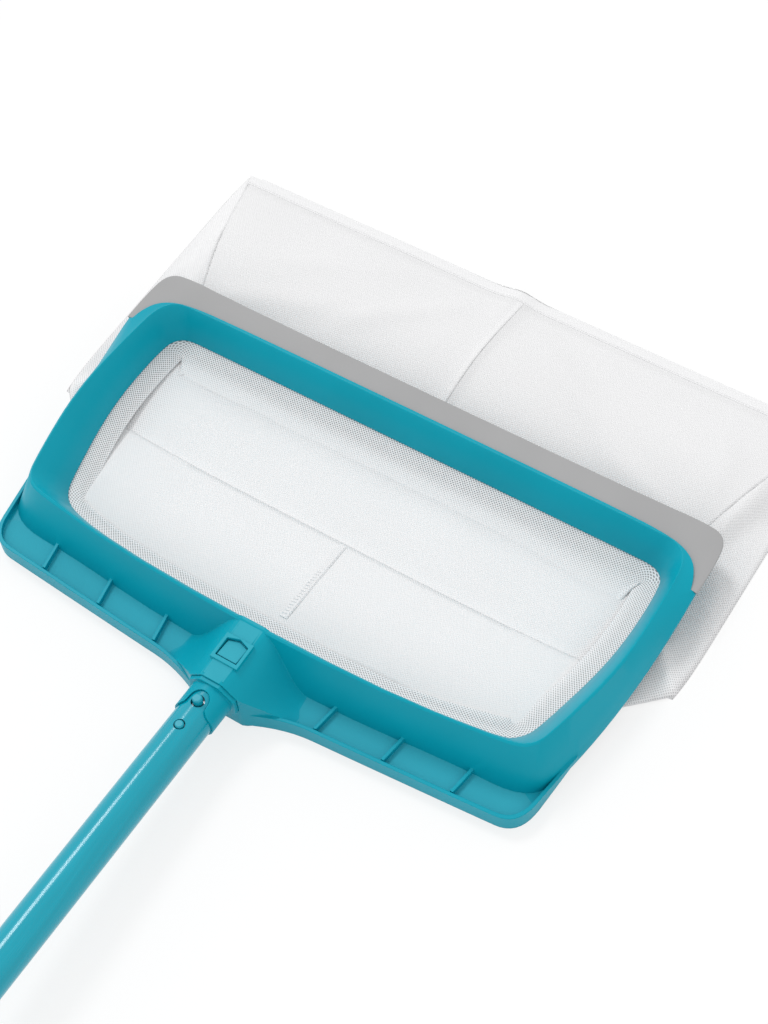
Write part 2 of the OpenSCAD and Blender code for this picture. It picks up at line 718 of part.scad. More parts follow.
// Plug in the tail of the pole, with the spigot for the next section
module pole_coupler() {
    color(teal_dark) on_pole() {
        difference() {
            union() {
                along_pole(pole_end - 40) cylinder(r = spigot_r, h = 41);
                along_pole(pole_end) cylinder(r = pole_r, h = shoulder);
            }
            along_pole(pole_end - 41) cylinder(r = spigot_r - spigot_wall, h = 80);
        }
        spigot(pole_end + shoulder);
    }
}

module coupler_clip_leaf() {
    color(steel) on_pole() clip_leaf(pole_end + shoulder);
}

module coupler_lock_button() {
    color(teal) on_pole() clip_button(pole_end + shoulder + lock_at, lock_d, lock_proud);
}

module coupler_release_button() {
    color(teal) on_pole()
        clip_button(pole_end + shoulder + lock_at + button_pitch, release_d, release_proud);
}

placed() frame();
placed() scraper_lip();
placed() net_retainer_ring();
placed() bag_mouth_band();
placed() bag_near_wall();
placed() bag_left_wall();
placed() bag_right_wall();
placed() bag_top_panel();
placed() bag_bottom_panel();
placed() bag_hem();
placed() near_seam_binding();
placed() top_seam_binding();
placed() pole_socket();
placed() latch_tongue();
placed() head_clip_leaf();
placed() head_lock_button();
placed() head_release_button();
placed() pole_tube();
placed() pole_coupler();
placed() coupler_clip_leaf();
placed() coupler_lock_button();
placed() coupler_release_button();
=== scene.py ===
"""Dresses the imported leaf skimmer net: moulded plastics, scraper lip, pole and mesh bag."""

import math
from typing import NamedTuple

import bmesh
import bpy
from mathutils import Euler, Matrix, Vector, noise
from mathutils.bvhtree import BVHTree


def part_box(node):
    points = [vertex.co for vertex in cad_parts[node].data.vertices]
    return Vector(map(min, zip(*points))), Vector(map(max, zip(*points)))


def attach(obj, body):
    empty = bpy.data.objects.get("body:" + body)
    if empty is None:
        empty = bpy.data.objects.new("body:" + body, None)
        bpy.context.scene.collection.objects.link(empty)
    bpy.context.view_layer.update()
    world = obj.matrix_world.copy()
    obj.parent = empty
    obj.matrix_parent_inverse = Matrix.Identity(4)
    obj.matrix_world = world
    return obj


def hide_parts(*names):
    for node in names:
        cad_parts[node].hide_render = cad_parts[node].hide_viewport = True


bl_info = {
    "name": "Leaf skimmer net",
    "version": (1, 0, 0),
    "blender": (4, 5, 0),
    "location": "View3D > Sidebar > Skimmer",
    "description": "Builds the looks of a leaf skimmer net around its packed frame",
    "category": "Object",
}

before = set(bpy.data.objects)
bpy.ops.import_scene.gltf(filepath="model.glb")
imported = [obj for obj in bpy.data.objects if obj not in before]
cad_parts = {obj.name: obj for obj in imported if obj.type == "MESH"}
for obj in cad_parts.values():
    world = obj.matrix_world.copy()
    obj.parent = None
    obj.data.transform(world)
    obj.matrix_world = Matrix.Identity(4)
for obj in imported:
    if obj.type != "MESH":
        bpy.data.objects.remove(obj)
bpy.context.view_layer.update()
BODY = "net_and_pole"

# Marks taken from the frame, in metres: +Y runs from the pole to the hem, and +Z up
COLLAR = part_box("frame")[0].y
FLOOR_NEAR, FLOOR_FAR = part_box("bag_bottom_panel")
TAIL = FLOOR_FAR.y
MOUTH_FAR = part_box("bag_mouth_band")[1].y

# Where a side wall joins the top panel: behind the opening's far corner, and at the hem
JOIN_NEAR = Vector((0.2151, 0.2579))
JOIN_TAIL = Vector((0.2775, 0.4409))

# The head's grained panels: the floors of its trays and the flat strip on top of its neck
TRAY_RUN = 0.05
TRAY_FLOOR = 0.011
NECK_TOP = 0.0505
NECK_STRIP = 0.0135
LEVEL = 0.97  # upward share of a level face's normal

# The net: longest facets of its sheets, and the rise of its seams and hem
WELD = 0.00002  # corners nearer than this are one
SHEET_FACET = 0.006
BAND_FACET = 0.0035
SEAM_RIDGE = 0.0022
SEAM_WIDTH = 0.006
TAIL_LIFT = 0.0045
TAIL_LIFT_WIDTH = 0.014
HEM_THICKNESS = 0.002
FOOT_BEND = 0.012  # how far the near wall's foot bends towards the tail at the sides
TOP_START = 0.165  # from the tail to where the top panel comes out from under the lip

# The mouth band's two rings past the opening's rim. The first reaches in and sinks, and more so
# on some sides. The second turns back under it, and at the far side runs out on the floor net.
REACH = 0.0025
REACH_RIGHT = 0.0065
REACH_FAR = 0.0055
REACH_SIDE = 0.002
SINK_FAR = 0.0045
SINK_SIDE = 0.0042
SINK_LOWEST = 0.003
UNDER_TURN = 0.006
UNDER_RUN = 0.018
UNDER_SINK = 0.0019
UNDER_LOWEST = 0.0018
UNDER_FLOOR = 0.0007


# ------------------------------------------------------------------ sizes and colours


def colour(name, description, value):
    """Property for a colour"""
    return bpy.props.FloatVectorProperty(
        name=name, description=description, subtype="COLOR", size=4, min=0, max=1,
        default=(*value, 1),
    )


def length(name, description, value):
    """Property for a length"""
    return bpy.props.FloatProperty(
        name=name, description=description, unit="LENGTH", min=0, precision=5, default=value
    )


class SkimmerFinish(bpy.types.PropertyGroup):
    """Colours and edges of the hard pieces"""

    plastic: colour("Plastic", "Moulded head, socket, buttons and pole", (0.0, 0.345, 0.455))
    matte: colour("Matte plastic", "Grained panels of the head", (0.03, 0.385, 0.49))
    # Edge: painted highlight along the moulded edges, paler than the plastic
    wear_and_edge_highlight: colour("Edge", "Plastic along the moulded edges", (0.0, 0.5, 0.61))
    ring: colour("Ring", "Ring under the opening and plug in the pole", (0.0, 0.205, 0.3))
    lip: colour("Scraper lip", "Soft lip along the far edge", (0.375, 0.375, 0.378))
    steel: colour("Spring steel", "Leaves of the snap clips", (0.5, 0.52, 0.55))
    edge_radius: length("Edge radius", "Rounding of the moulded edges", 0.0009)
    button_bevel: length("Button bevel", "Rounding of the buttons' rims", 0.0004)


class SkimmerNet(bpy.types.PropertyGroup):
    """Sizes and colours of the bag"""

    net: colour("Net", "Threads of the net", (0.94, 0.94, 0.947))
    # Holes: painted shade of what lies beneath the net, seen through its holes
    painted_hole_shade: colour("Holes", "Openings between the threads", (0.36, 0.36, 0.372))
    tape: colour("Tape", "Hem and seam tapes", (0.88, 0.88, 0.885))
    thread: colour("Thread", "Sewing thread", (0.8, 0.8, 0.81))
    pitch: length("Pitch", "Distance between rows of holes", 0.0025)
    thickness: length("Thickness", "Thickness of the net", 0.0005)
    wrinkle: length("Wrinkles", "Height of the soft unevenness", 0.0011)
    stitch: length("Stitch", "Length of a stitch and its gap", 0.0027)


class SkimmerStage(bpy.types.PropertyGroup):
    """Light and floor"""

    world: bpy.props.FloatProperty(name="World", description="Strength of the sky", default=0.84)
    key: bpy.props.FloatProperty(
        name="Key", description="Energy of the soft key lamp", default=0.9
    )
    floor: colour("Floor", "Colour of the floor", (0.9, 0.9, 0.9))


# ------------------------------------------------------------------ node trees


def node(tree, kind, place, inputs=None, **settings):
    """A node at a place of the grid; inputs gives a socket a value or another node's output"""
    made = tree.nodes.new(kind if kind.startswith("NodeGroup") else "ShaderNode" + kind)
    made.location = (place[0] * 190, place[1] * -190)
    for key, value in settings.items():
        setattr(made, key, value)
    for key, value in (inputs or {}).items():
        give(tree, made.inputs[key], value)
    return made


def give(tree, socket, value):
    """Gives a socket a value or another node's output"""
    if isinstance(value, bpy.types.NodeSocket):
        tree.links.new(value, socket)
    else:
        socket.default_value = value


def feed(tree, target, outputs):
    """Links outputs to a node's inputs, by the inputs' names"""
    for name, output in outputs.items():
        tree.links.new(output, target.inputs[name])


def calc(tree, operation, place, *values):
    """Output of a Math node"""
    return node(tree, "Math", place, dict(enumerate(values)), operation=operation).outputs[0]


def scaled(tree, place, vector, factor):
    """A colour or vector times a factor"""
    return node(
        tree, "VectorMath", place, {0: vector, 3: factor}, operation="SCALE"
    ).outputs[0]


def blend(tree, place, share, first, second):
    """Output of a colour Mix node"""
    made = node(tree, "Mix", place, data_type="RGBA")
    for socket, value in (("Factor_Float", share), ("A_Color", first), ("B_Color", second)):
        give(tree, next(s for s in made.inputs if s.identifier == socket), value)
    return next(s for s in made.outputs if s.identifier == "Result_Color")


def ramp(tree, place, value, low, high, to_low=0.0, to_high=1.0):
    """Output of a smooth Map Range node"""
    return node(
        tree,
        "MapRange",
        place,
        {"Value": value, "From Min": low, "From Max": high, "To Min": to_low, "To Max": to_high},
        interpolation_type="SMOOTHSTEP",
    ).outputs[0]


def cloud(tree, place, vector, scale, detail=2.0):
    """Value of a Noise Texture node"""
    inputs = {"Vector": vector, "Scale": scale, "Detail": detail}
    return node(tree, "TexNoise", place, inputs).outputs[0]


def drawn_out(tree, vector, scale):
    """Noise that is stretched along the piece by the scale of each axis"""
    stretched = node(tree, "Mapping", (-1, 0), {"Vector": vector, "Scale": scale})
    return cloud(tree, (0, 0), stretched.outputs[0], 1.0)


def bumped(tree, place, strength, distance, height, normal=None):
    """Normal of a Bump node, which may start from another normal"""
    inputs = {"Strength": strength, "Distance": distance, "Height": height}
    if normal is not None:
        inputs["Normal"] = normal
    return node(tree, "Bump", place, inputs).outputs[0]


def object_place(tree, place=(-2, 0)):
    """Object coordinates"""
    return node(tree, "TexCoord", place).outputs["Object"]


def group_tree(name, inputs, outputs):
    """New shader group with its sockets; gives its tree, its inputs and its output node"""
    tree = bpy.data.node_groups.new(name, "ShaderNodeTree")
    for way, sockets in (("INPUT", inputs), ("OUTPUT", outputs)):
        for socket, kind in sockets.items():
            tree.interface.new_socket(socket, in_out=way, socket_type="NodeSocket" + kind)
    given = node(tree, "NodeGroupInput", (-6, 0)).outputs
    return tree, given, node(tree, "NodeGroupOutput", (6, 0))


def group_node(tree, name, place, inputs):
    """Outputs of a node that uses a shader group"""
    return node(tree, "Group", place, inputs, node_tree=bpy.data.node_groups[name]).outputs


def make_moulded_group():
    """Grain, painted highlights along the edges and matte panels of a moulded plastic"""
    tree, given, sink = group_tree(
        "moulded plastic",
        {"Plastic": "Color", "Matte plastic": "Color", "Edge": "Color", "Matte": "Float",
         "Edge radius": "Float", "Grain": "Float"},
        {"Colour": "Color", "Roughness": "Float", "Normal": "Vector"},
    )
    place = object_place(tree, (-6, 2))
    fine = cloud(tree, (-4, 2), place, 1500.0, detail=3.0)
    broad = cloud(tree, (-4, 3.5), place, 9.0)
    rounded = node(tree, "Bevel", (-4, 0), {"Radius": given["Edge radius"]}, samples=6).outputs[0]
    true = node(tree, "NewGeometry", (-4, -1.5)).outputs["Normal"]
    # The bevelled normal leaves the true one only near an edge
    along = node(tree, "VectorMath", (-2, -1), {0: rounded, 1: true}, operation="DOT_PRODUCT")
    edge = ramp(tree, (-1, -1), along.outputs["Value"], 0.995, 0.86)
    base = blend(tree, (0, 0), given["Matte"], given["Plastic"], given["Matte plastic"])
    # Painted highlight: the Edge colour lightens the plastic near the moulded edges
    lit = blend(tree, (1, 0), calc(tree, "MULTIPLY", (0, -1), edge, 0.5), base, given["Edge"])
    tone = ramp(tree, (1, 3), broad, 0.3, 0.7, to_low=0.965, to_high=1.035)
    matte_rough = calc(tree, "MULTIPLY_ADD", (1, 1.5), given["Matte"], 0.22, 0.34)
    depth = calc(tree, "MULTIPLY_ADD", (1, 4.5), given["Matte"], 0.3, given["Grain"])
    feed(tree, sink, {
        "Colour": scaled(tree, (3, 0), lit, tone),
        "Roughness": calc(tree, "MULTIPLY_ADD", (3, 1.5), fine, 0.1, matte_rough),
        "Normal": bumped(tree, (4, 3), depth, 0.0002, fine, rounded),
    })


def make_net_group():
    """Staggered holes of a knitted net, with painted shade in them, and the fine lines of its warp
    """
    tree, given, sink = group_tree(
        "knitted net",
        {"Vector": "Vector", "Pitch": "Float", "Net": "Color", "Holes": "Color", "Open and shaded": "Float",
         "Shade": "Float"},
        {"Colour": "Color", "Height": "Float", "Cover": "Float"},
    )
    turns = calc(tree, "DIVIDE", (-5, 1), 2 * math.pi, given["Pitch"])
    turned = scaled(tree, (-4, 0), given["Vector"], turns)
    axes = node(tree, "SeparateXYZ", (-3, 0), {0: turned}).outputs
    across = calc(tree, "COSINE", (-2, 0), axes[0])
    along = calc(tree, "COSINE", (-2, 1), axes[1])
    cell = calc(tree, "MULTIPLY", (-1, 0), across, along)
    painted_hole_shade = ramp(tree, (0, 0), cell, 0.05, 0.55)
    # The warp's lines slant by 60 degrees, whose cosine and sine are 0.5 and 0.866
    slant = calc(tree, "MULTIPLY_ADD", (-2, 2), axes[1], 0.5,
                 calc(tree, "MULTIPLY", (-3, 2), axes[0], 0.866))
    lines = calc(tree, "SINE", (-1.5, 3), slant)
    warp = ramp(tree, (-1, 2), lines, -1.0, 1.0, to_low=0.985, to_high=1.005)
    share = calc(tree, "MULTIPLY", (1, 0), painted_hole_shade, given["Open and shaded"])
    # Painted shade: the holes take the grey of the shade beneath the net, by how open and shaded
    # they are
    knit = blend(tree, (2, 0), share, given["Net"], given["Holes"])
    dim = calc(tree, "MULTIPLY", (2, 2), warp,
               calc(tree, "SUBTRACT", (1, 2), 1.0, given["Shade"]))
    feed(tree, sink, {
        "Colour": scaled(tree, (4, 0), knit, dim),
        "Height": calc(tree, "MULTIPLY", (2, 3), cell, -1.0),
        "Cover": calc(tree, "MULTIPLY_ADD", (2, 4), share, -0.4, 0.9),
    })


def make_tape_group():
    """Plain weave of a sewn tape"""
    tree, given, sink = group_tree(
        "woven tape", {"Vector": "Vector", "Tape": "Color"}, {"Colour": "Color", "Height": "Float"}
    )
    axes = node(tree, "SeparateXYZ", (-4, 0), {0: given["Vector"]}).outputs
    warp = calc(tree, "SINE", (-2, 0), calc(tree, "MULTIPLY", (-3, 0), axes[0], 7000.0))
    weft = calc(tree, "SINE", (-2, 1), calc(tree, "MULTIPLY", (-3, 1), axes[1], 5200.0))
    weave = calc(tree, "MULTIPLY", (-1, 0), warp, weft)
    patches = cloud(tree, (-4, 3), given["Vector"], 140.0)
    wear_and_edge_highlight = ramp(tree, (0, 3), patches, 0.3, 0.7, to_low=0.95, to_high=1.0)
    tone = calc(tree, "MULTIPLY_ADD", (1, 1), weave, 0.02, wear_and_edge_highlight)
    feed(tree, sink, {"Colour": scaled(tree, (3, 0), given["Tape"], tone), "Height": weave})


def new_material(name, values):
    """Material whose Principled shader has some plain values"""
    material = bpy.data.materials.new(name)
    material.use_nodes = True
    tree = material.node_tree
    tree.nodes.clear()
    shader = node(tree, "BsdfPrincipled", (4, 0), values)
    node(tree, "OutputMaterial", (6, 0), {"Surface": shader.outputs[0]})
    return material, tree, shader


def plastic(name, tint, gloss=0.16, grain=0.06, attribute=False):
    """Moulded plastic in one of the finish colours, with painted highlights along its edges where
    it has the attribute
    """
    finish = bpy.context.scene.skimmer_finish
    material, tree, shader = new_material(name, {"Specular IOR Level": gloss})
    matte = 0.0
    if attribute:
        matte = node(tree, "Attribute", (0, 1), attribute_name="matte").outputs["Fac"]
    look = group_node(tree, "moulded plastic", (2, 0), {
        "Plastic": tint, "Matte plastic": finish.matte, "Edge": finish.wear_and_edge_highlight if attribute else tint,
        "Matte": matte, "Edge radius": finish.edge_radius, "Grain": grain})
    feed(tree, shader, {
        "Base Color": look["Colour"], "Roughness": look["Roughness"], "Normal": look["Normal"]})
    return material


def painted_metal():
    """Gloss paint of the pole with a faint drawn grain along it"""
    finish = bpy.context.scene.skimmer_finish
    material, tree, shader = new_material("pole paint", {
        "Specular IOR Level": 0.2, "Coat Weight": 0.4, "Coat Roughness": 0.12})
    drawn = drawn_out(tree, object_place(tree), (260.0, 6.0, 260.0))
    tone = ramp(tree, (1, 0), drawn, 0.3, 0.7, to_low=0.96, to_high=1.03)
    feed(tree, shader, {
        "Base Color": scaled(tree, (2, 0), finish.plastic[:3], tone),
        "Roughness": ramp(tree, (2, 1), drawn, 0.2, 0.8, to_low=0.2, to_high=0.3)})
    return material


def rubber():
    """Soft lip with a fine matte grain"""
    finish = bpy.context.scene.skimmer_finish
    material, tree, shader = new_material("lip rubber", {"Specular IOR Level": 0.25})
    place = object_place(tree)
    grain = cloud(tree, (0, 0), place, 1100.0, detail=3.0)
    broad = cloud(tree, (0, 2), place, 12.0)
    tone = ramp(tree, (1, 2), broad, 0.3, 0.7, to_low=0.97, to_high=1.03)
    feed(tree, shader, {
        "Base Color": scaled(tree, (2, 1), finish.lip[:3], tone),
        "Roughness": ramp(tree, (2, 0), grain, 0.2, 0.8, to_low=0.58, to_high=0.7),
        "Normal": bumped(tree, (2, 2), 0.2, 0.0002, grain)})
    return material


def spring_steel():
    """Strip steel, brushed along the leaf"""
    finish = bpy.context.scene.skimmer_finish
    material, tree, shader = new_material("spring steel", {"Metallic": 1.0})
    brush = drawn_out(tree, object_place(tree), (1800.0, 25.0, 1800.0))
    tone = ramp(tree, (1, 0), brush, 0.3, 0.7, to_low=0.85, to_high=1.05)
    feed(tree, shader, {
        "Base Color": scaled(tree, (2, 0), finish.steel[:3], tone),
        "Roughness": ramp(tree, (2, 1), brush, 0.2, 0.8, to_low=0.25, to_high=0.42)})
    return material


def netting(name, on_uv=False):
    """Net whose holes and painted shade follow the piece's own attributes; the holes' grey is
    painted shade
    """
    cloth = bpy.context.scene.skimmer_net
    material, tree, shader = new_material(
        name, {"Roughness": 0.8, "Specular IOR Level": 0.2, "Sheen Weight": 0.1})
    place = node(tree, "TexCoord", (-2, 0)).outputs["UV" if on_uv else "Object"]
    # How see-through the holes are, and how much painted shade they show
    open_holes = node(tree, "Attribute", (-2, 2), attribute_name="open").outputs["Fac"]
    shade = node(tree, "Attribute", (-2, 3), attribute_name="shade").outputs["Fac"]
    knit = group_node(tree, "knitted net", (0, 0), {
        "Vector": place, "Pitch": cloth.pitch, "Net": cloth.net, "Holes": cloth.painted_hole_shade,
        "Open and shaded": open_holes, "Shade": shade})
    feed(tree, shader, {
        "Base Color": knit["Colour"], "Alpha": knit["Cover"],
        "Normal": bumped(tree, (2, 1), 0.35, 0.0003, knit["Height"])})
    return material


def sewn(name, tint):
    """Tape or thread of the seams"""
    material, tree, shader = new_material(name, {"Roughness": 0.78, "Specular IOR Level": 0.2})
    weave = group_node(
        tree, "woven tape", (0, 0), {"Vector": object_place(tree), "Tape": tint})
    feed(tree, shader, {
        "Base Color": weave["Colour"],
        "Normal": bumped(tree, (2, 1), 0.3, 0.0002, weave["Height"])})
    return material


# ------------------------------------------------------------------ mesh helpers


def smooth(value):
    """Smooth step from 0 to 1"""
    value = min(1.0, max(0.0, value))
    return value * value * (3 - 2 * value)


def hump(offset, width):
    """1 on a line, and falling to 0 with the distance from it"""
    return math.exp(-((offset / width) ** 2))


def welded(name):
    """The mesh of a CAD node with its doubles merged"""
    bm = bmesh.new()
    bm.from_mesh(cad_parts[name].data)
    bmesh.ops.remove_doubles(bm, verts=bm.verts, dist=WELD)
    return bm


def placed(bm, name, material, slot, stands_for, body=BODY, crease=35, **attributes):
    """Makes a piece of a bmesh: shading, attributes, material, body and what it replaces; the slot
    is not used
    """
    for face in bm.faces:
        face.smooth = True
    for edge in bm.edges:
        edge.smooth = not (edge.is_manifold and edge.calc_face_angle(0) > math.radians(crease))
    mesh = bpy.data.meshes.new(name)
    bm.to_mesh(mesh)
    bm.free()
    for attribute, value in attributes.items():
        layer = mesh.attributes.new(attribute, "FLOAT", "POINT")
        layer.data.foreach_set("value", [value(vertex.co) for vertex in mesh.vertices])
    mesh.materials.append(material)
    piece = bpy.data.objects.new(name, mesh)
    bpy.context.scene.collection.objects.link(piece)
    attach(piece, body)
    if stands_for:
        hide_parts(*stands_for)
    return piece


def hard_copy(name, title, material, slot, body=BODY, bevel=0.0, crease=35, flatten=True):
    """Dressed copy of a rigid node, its flat facets joined and its rims rounded where asked"""
    bm = welded(name)
    if flatten:
        bmesh.ops.dissolve_limit(bm, angle_limit=math.radians(0.4), verts=bm.verts, edges=bm.edges)
    piece = placed(bm, title, material, slot, [name], body, crease)
    if bevel:
        rim = piece.modifiers.new("rims", "BEVEL")
        rim.width = bevel
        rim.segments = 2
        rim.limit_method = "ANGLE"
        rim.angle_limit = math.radians(crease)
        rim.harden_normals = True


def net_sheet(bm, name, look, stands_for, crease=70, **attributes):
    """Makes a panel of a bmesh, with the net's thickness below its surface"""
    piece = placed(bm, name, look, "mesh", [stands_for], crease=crease, **attributes)
    wall = piece.modifiers.new("thickness", "SOLIDIFY")
    wall.thickness = bpy.context.scene.skimmer_net.thickness
    wall.offset = -1.0
    return piece


def refined(bm, longest):
    """Joins triangles to quads and halves edges until none is longer than a length"""
    bmesh.ops.join_triangles(
        bm, faces=bm.faces, angle_face_threshold=0.7, angle_shape_threshold=1.6)
    for _ in range(9):
        long = [edge for edge in bm.edges if edge.calc_length() > longest]
        if not long:
            break
        bmesh.ops.subdivide_edges(bm, edges=long, cuts=1, use_grid_fill=True)
    bmesh.ops.triangulate(bm, faces=[face for face in bm.faces if len(face.verts) > 4])
    bmesh.ops.dissolve_degenerate(bm, edges=bm.edges, dist=0.000001)


def upper_side(name, steepest):
    """The faces of a bag node that look up by more than a share of their normal"""
    bm = welded(name)
    down = [face for face in bm.faces if face.normal.z < steepest]
    bmesh.ops.delete(bm, geom=down, context="FACES")
    return bm


def upper_sheet(name, relax=8):
    """The upper side of a bag node as one fine sheet, with its facets relaxed inside its border"""
    bm = upper_side(name, 0.5)
    refined(bm, SHEET_FACET)
    inside = [vertex for vertex in bm.verts if not vertex.is_boundary]
    for _ in range(relax):
        bmesh.ops.smooth_vert(bm, verts=inside, factor=0.5, use_axis_x=True, use_axis_y=True,
                              use_axis_z=True)
    return bm


def beside(point, start, end):
    """Where a point lies by a line: its share of the way from start to end, and its distance"""
    along = Vector(end) - Vector(start)
    offset = point.xy - Vector(start)
    return offset.dot(along) / along.length_squared, offset.cross(along) / along.length


def fold(point, start, end, width, height):
    """Height at a point of a soft fold that runs from start to end"""
    share, across = beside(point, start, end)
    if not 0 < share < 1:
        return 0.0
    return height * smooth(3 * share) * smooth(3 - 3 * share) * hump(across, width)


def crease(point, start, end, width, height):
    """Height at a point of a sharp fold that runs from start to end"""
    share, across = beside(point, start, end)
    return height * smooth(6 * share) * smooth(6 - 5 * share) * math.exp(-abs(across) / width)


def unevenness(point, scale=14.0):
    """Soft random height of the cloth, the same at every run"""
    return noise.noise(Vector((point.x * scale, point.y * scale, 2.7)))


def tail_share(point):
    """0 on the bag's middle and 1 at its hem"""
    return smooth((point.y - TAIL + 0.075) / 0.07)


def tail_lift(point):
    """Lift of both layers of the net under the centre seam at the hem"""
    return TAIL_LIFT * hump(point.x + 0.004, TAIL_LIFT_WIDTH) * tail_share(point)


# Soft folds of the bag's top side: start, end, width and height
TOP_FOLDS = (
    ((0.01, TAIL - 0.02), (0.16, TAIL - 0.12), 0.010, 0.0022),
    ((0.03, TAIL - 0.015), (0.25, TAIL - 0.07), 0.009, 0.0016),
    ((-0.01, TAIL - 0.02), (-0.13, TAIL - 0.12), 0.011, 0.0020),
    ((-0.05, TAIL - 0.012), (-0.22, TAIL - 0.09), 0.010, 0.0014),
    ((0.10, TAIL - 0.10), (0.27, TAIL - 0.16), 0.012, 0.0020),
    ((-0.10, TAIL - 0.09), (-0.27, TAIL - 0.15), 0.012, 0.0018),
    ((0.20, TAIL - 0.02), (0.26, TAIL - 0.19), 0.010, 0.0016),
)


def top_rise(point):
    """Height that folds and the seam add to the top side, faded where the side walls join it"""
    free = smooth((point.y - TAIL + TOP_START) / 0.03)
    tail = tail_share(point)
    join = JOIN_NEAR.lerp(JOIN_TAIL, (point.y - JOIN_NEAR.y) / (JOIN_TAIL.y - JOIN_NEAR.y))
    side = smooth((join.x - abs(point.x)) / 0.03)
    rise = tail_lift(point) + SEAM_RIDGE * hump(point.x, SEAM_WIDTH) * free * (1 - tail)
    rise += sum(fold(point, *one) for one in TOP_FOLDS) * free * side
    wrinkle = bpy.context.scene.skimmer_net.wrinkle
    return rise + wrinkle * (0.6 + unevenness(point)) * free * side * (0.5 + 0.5 * (1 - tail))


def hem_rise(point):
    """Height added to the hem: its underside follows the floor net and its top the top side"""
    lift = tail_lift(point)
    return lift + (top_rise(point) - lift) * smooth(point.z / HEM_THICKNESS)


def crease_line(x):
    """Where the near wall meets the floor"""
    return FLOOR_NEAR.y + FOOT_BEND * (abs(x) / FLOOR_FAR.x) ** 4


# ------------------------------------------------------------------ hard pieces


class SKIMMER_OT_head(bpy.types.Operator):
    """Moulded scoop head and the ring that clamps the net under it"""

    bl_idname = "skimmer.head"
    bl_label = "Head"

    def is_grained(self, face):
        """Whether a face is on the neck's flat strip or on the floor of a tray"""
        middle = face.calc_center_median()
        on_neck = middle.z > NECK_TOP and abs(middle.x) < NECK_STRIP
        on_tray = abs(middle.z - TRAY_FLOOR) < 0.0008 and middle.y < COLLAR + TRAY_RUN
        return face.normal.z > LEVEL and (on_neck or on_tray)

    def execute(self, context):
        finish = context.scene.skimmer_finish
        bm = welded("frame")
        layer = bm.faces.layers.float.new("matte")
        for face in bm.faces:
            face[layer] = 1.0 if self.is_grained(face) else 0.0
        placed(bm, "scoop_head", plastic("head plastic", finish.plastic, attribute=True),
               "head_plastic", ["frame"], crease=32)
        hard_copy("net_retainer_ring", "clamp_ring",
                  plastic("ring plastic", finish.ring, 0.15, 0.2), "ring_plastic")
        return {"FINISHED"}


class SKIMMER_OT_scraper_lip(bpy.types.Operator):
    """Soft lip along the far edge"""

    bl_idname = "skimmer.scraper_lip"
    bl_label = "Scraper lip"

    def execute(self, context):
        hard_copy("scraper_lip", "soft_lip", rubber(), "lip_rubber", crease=28, flatten=False)
        return {"FINISHED"}


class SKIMMER_OT_socket_and_latch(bpy.types.Operator):
    """Socket for the pole and the latch tongue that holds it in the neck"""

    bl_idname = "skimmer.socket_and_latch"
    bl_label = "Socket and latch"

    def execute(self, context):
        finish = context.scene.skimmer_finish
        look = plastic("socket plastic", finish.plastic, attribute=True)
        latch = plastic("latch plastic", finish.matte, 0.15, 0.3)
        hard_copy("pole_socket", "socket", look, "head_plastic", bevel=0.00035)
        hard_copy("latch_tongue", "latch", latch, "head_plastic", "latch", bevel=0.0003)
        return {"FINISHED"}


class SKIMMER_OT_snap_clips(bpy.types.Operator):
    """Spring leaves with their lock and release buttons"""

    bl_idname = "skimmer.snap_clips"
    bl_label = "Snap clips"

    def execute(self, context):
        finish = context.scene.skimmer_finish
        steel = spring_steel()
        gloss = plastic("button plastic", finish.plastic, 0.5, 0.02)
        for place in ("head", "coupler"):
            clip = place + "_clip"
            hard_copy(clip + "_leaf", clip + "_spring", steel, "spring_steel", clip, bevel=0.0001)
            for button in ("lock", "release"):
                hard_copy(f"{place}_{button}_button", f"{place}_{button}", gloss,
                          "button_plastic", clip, bevel=finish.button_bevel)
        return {"FINISHED"}


class SKIMMER_OT_pole(bpy.types.Operator):
    """Pole section and the plug in its tail"""

    bl_idname = "skimmer.pole"
    bl_label = "Pole"

    def execute(self, context):
        finish = context.scene.skimmer_finish
        hard_copy("pole_tube", "pole", painted_metal(), "pole_metal", bevel=0.0003)
        hard_copy("pole_coupler", "tail_plug", plastic("plug plastic", finish.ring, 0.2, 0.15),
                  "ring_plastic", bevel=0.0004)
        return {"FINISHED"}


# ------------------------------------------------------------------ bag


def border_ring(bm):
    """Outer border of a flat ring of faces, in order and anticlockwise"""
    middle = Vector((0.0, sum(vertex.co.y for vertex in bm.verts) / len(bm.verts)))
    border = [vertex for vertex in bm.verts if vertex.is_boundary]
    start = max(border, key=lambda vertex: abs(vertex.co.x))
    ring, at = [start], start
    while True:
        after = [edge.other_vert(at) for edge in at.link_edges if edge.is_boundary]
        after = [vertex for vertex in after if vertex not in ring[-2:] and vertex is not start]
        if not after:
            break
        at = after[0]
        ring.append(at)
    turn = sum((a.co.xy - middle).cross(b.co.xy - middle) for a, b in zip(ring, ring[1:]))
    return ring if turn > 0 else ring[::-1]


def rings_inwards(bm):
    """Vertices of a strip of quads, ring by ring from its outer border"""
    rings = [border_ring(bm)]
    seen = set(rings[0])
    while True:
        inner = []
        for vertex in rings[-1]:
            onward = [edge.other_vert(vertex) for edge in vertex.link_edges]
            onward = [other for other in onward if other not in seen]
            if len(onward) != 1:
                return rings
            inner += onward
        seen.update(inner)
        rings.append(inner)


